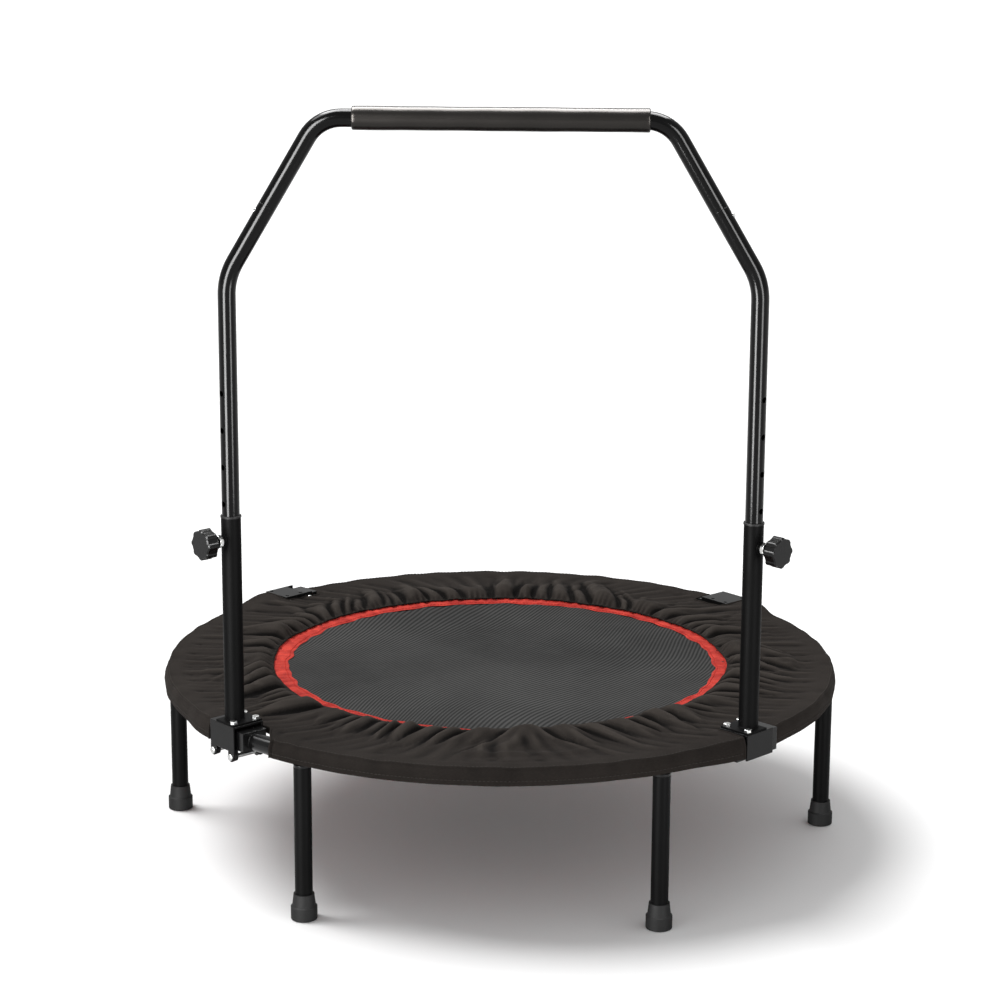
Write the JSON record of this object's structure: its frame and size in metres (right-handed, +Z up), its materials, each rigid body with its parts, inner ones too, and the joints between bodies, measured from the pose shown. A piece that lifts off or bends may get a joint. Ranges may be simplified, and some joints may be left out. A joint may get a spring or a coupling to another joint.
{
  "type": "mini trampoline",
  "caption": "Folding round mini trampoline on screw-in legs, with a padded spring cover and a height-adjustable U-shaped handlebar.",
  "frame": {"origin": "on the floor, under the centre of the ring", "axes": "+Z up; the handlebar stands at -Y and spans X; the ring folds about a line 43 degrees clockwise from +X"},
  "size_m": [1.0312, 1.016, 1.126],
  "materials": {
    "border_webbing": "woven webbing",
    "foot_rubber": "matte",
    "grip_foam": "closed-cell foam, matte",
    "handle_paint": "gloss black",
    "hinge_paint": "satin black",
    "knob_plastic": "moulded",
    "leg_paint": "gloss black",
    "mat_fabric": "woven",
    "nylon": "moulded",
    "post_paint": "gloss black",
    "ring_paint": "gloss black",
    "skirt_fabric": "woven polyester",
    "spring_steel": "zinc plated",
    "zinc": "zinc plated"
  },
  "bodies": {
    "base": {"foot_front_left": "foot_rubber", "foot_front_right": "foot_rubber", "foot_left": "foot_rubber", "hinge_pins_lb": "zinc", "hinge_pins_lf": "zinc", "hinge_pins_rf": "zinc", "hinge_saddle_lb": "hinge_paint", "hinge_saddle_lf": "hinge_paint", "hinge_saddle_rf": "hinge_paint", "hinge_spacers_lb": "nylon", "hinge_spacers_lf": "nylon", "hinge_spacers_rf": "nylon", "knob_boss_left": "post_paint", "knob_boss_right": "post_paint", "leg_front_left": "leg_paint", "leg_front_right": "leg_paint", "leg_left": "leg_paint", "mat_border_front": "border_webbing", "mat_front": "mat_fabric", "mat_rings_front": "zinc", "post_bolts_left": "zinc", "post_bolts_right": "zinc", "post_bushing_left": "nylon", "post_bushing_right": "nylon", "post_left": "post_paint", "post_right": "post_paint", "ring_section_front": "ring_paint", "ring_section_left": "ring_paint", "skirt_front": "skirt_fabric", "springs_front": "spring_steel"},
    "back_half": {"foot_back_left": "foot_rubber", "foot_back_right": "foot_rubber", "foot_right": "foot_rubber", "hinge_pins_rb": "zinc", "hinge_saddle_rb": "hinge_paint", "hinge_spacers_rb": "nylon", "leg_back_left": "leg_paint", "leg_back_right": "leg_paint", "leg_right": "leg_paint", "mat_back": "mat_fabric", "mat_border_back": "border_webbing", "mat_rings_back": "zinc", "ring_section_back": "ring_paint", "ring_section_right": "ring_paint", "skirt_back": "skirt_fabric", "springs_back": "spring_steel"},
    "handlebar": {"handle_buttons": "zinc", "handle_grip": "grip_foam", "handle_plugs": "nylon", "handle_side_left": "handle_paint", "handle_side_right": "handle_paint", "handle_top": "handle_paint"},
    "left_knob": {"knob_left": "knob_plastic", "knob_bolt_left": "zinc"},
    "right_knob": {"knob_right": "knob_plastic", "knob_bolt_right": "zinc"}
  },
  "joints": [
    {"name": "ring_fold", "type": "hinge", "parent": "base", "child": "back_half", "pos_m": [0.01432, 0.01536, 0.251], "axis": [0.7314, -0.682, 0], "range_deg": [0, 90]},
    {"name": "handlebar_height", "type": "slide", "parent": "base", "child": "handlebar", "axis": [0, 0, 1], "range_m": [-0.208, 0]},
    {"name": "left_knob_turn", "type": "hinge", "parent": "base", "child": "left_knob", "pos_m": [-0.38762, -0.36146, 0.525], "axis": [-0.7314, -0.682, 0], "continuous": true},
    {"name": "right_knob_turn", "type": "hinge", "parent": "base", "child": "right_knob", "pos_m": [0.38762, -0.36146, 0.525], "axis": [0.7314, -0.682, 0], "continuous": true}
  ]
}
